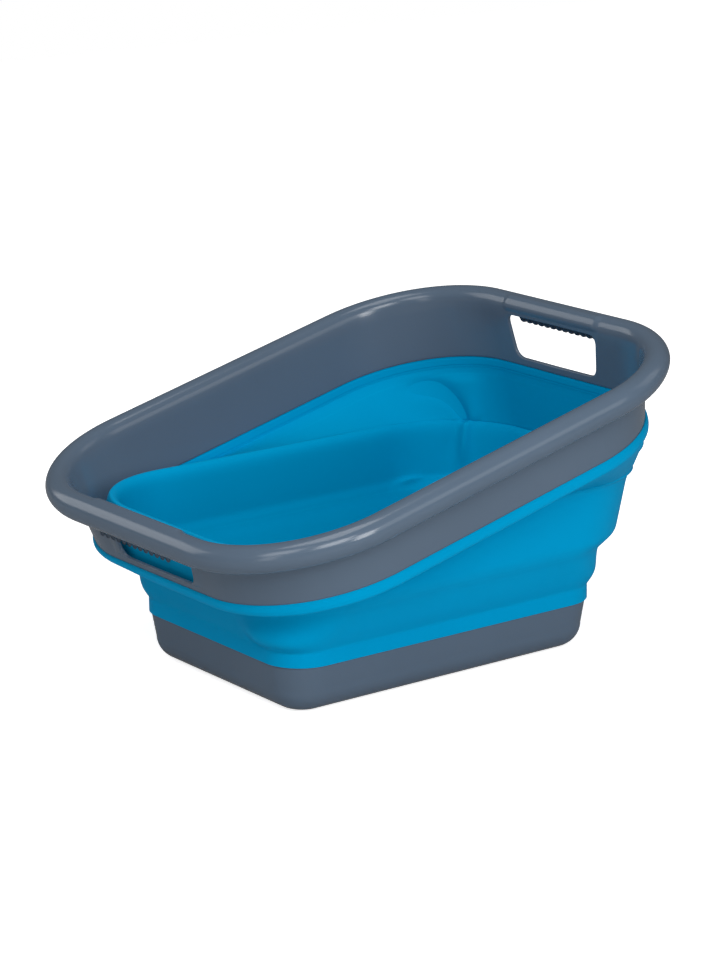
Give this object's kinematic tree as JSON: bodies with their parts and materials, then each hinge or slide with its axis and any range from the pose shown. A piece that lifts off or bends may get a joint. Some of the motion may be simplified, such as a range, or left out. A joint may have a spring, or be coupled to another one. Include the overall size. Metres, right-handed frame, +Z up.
{
  "type": "collapsible laundry basket",
  "caption": "Folding laundry basket with a rigid rolled rim, hand slots, a flexible concertina wall with a stiff ring, and a rigid tray.",
  "frame": {"origin": "centre of the tray's flat underside", "axes": "+X along the length towards the raised end, +Y across the width, +Z up"},
  "size_m": [0.5155, 0.4542, 0.3025],
  "materials": {
    "grey_plastic": "moulded, semi-gloss",
    "grey_grip": "moulded, satin",
    "blue_elastomer": "moulded, satin"
  },
  "bodies": {
    "tray": {"base_tray": "grey_plastic", "tray_bond_rib": "blue_elastomer"},
    "ring": {"middle_ring": "blue_elastomer", "lower_folding_wall": "blue_elastomer"},
    "fold": {"right_folding_wall": "blue_elastomer"},
    "rim": {"rim_frame": "grey_plastic", "rim_bond_rib": "blue_elastomer", "grip_left": "grey_grip", "grip_right": "grey_grip", "left_folding_wall": "blue_elastomer"}
  },
  "joints": [
    {"name": "lower_zone_fold", "type": "slide", "parent": "tray", "child": "ring", "axis": [0, 0, 1], "range_m": [-0.09, 0], "deforming": ["lower_folding_wall"]},
    {"name": "right_end_fold", "type": "hinge", "parent": "ring", "child": "fold", "pos_m": [-0.2381, 0, 0.14651], "axis": [0, 1, 0], "range_deg": [0, 14.3], "deforming": ["right_folding_wall"]},
    {"name": "left_end_lift", "type": "hinge", "parent": "fold", "child": "rim", "pos_m": [0.2401, 0, 0.20649], "axis": [0, 1, 0], "range_deg": [0, 14.3], "deforming": ["left_folding_wall"]}
  ]
}
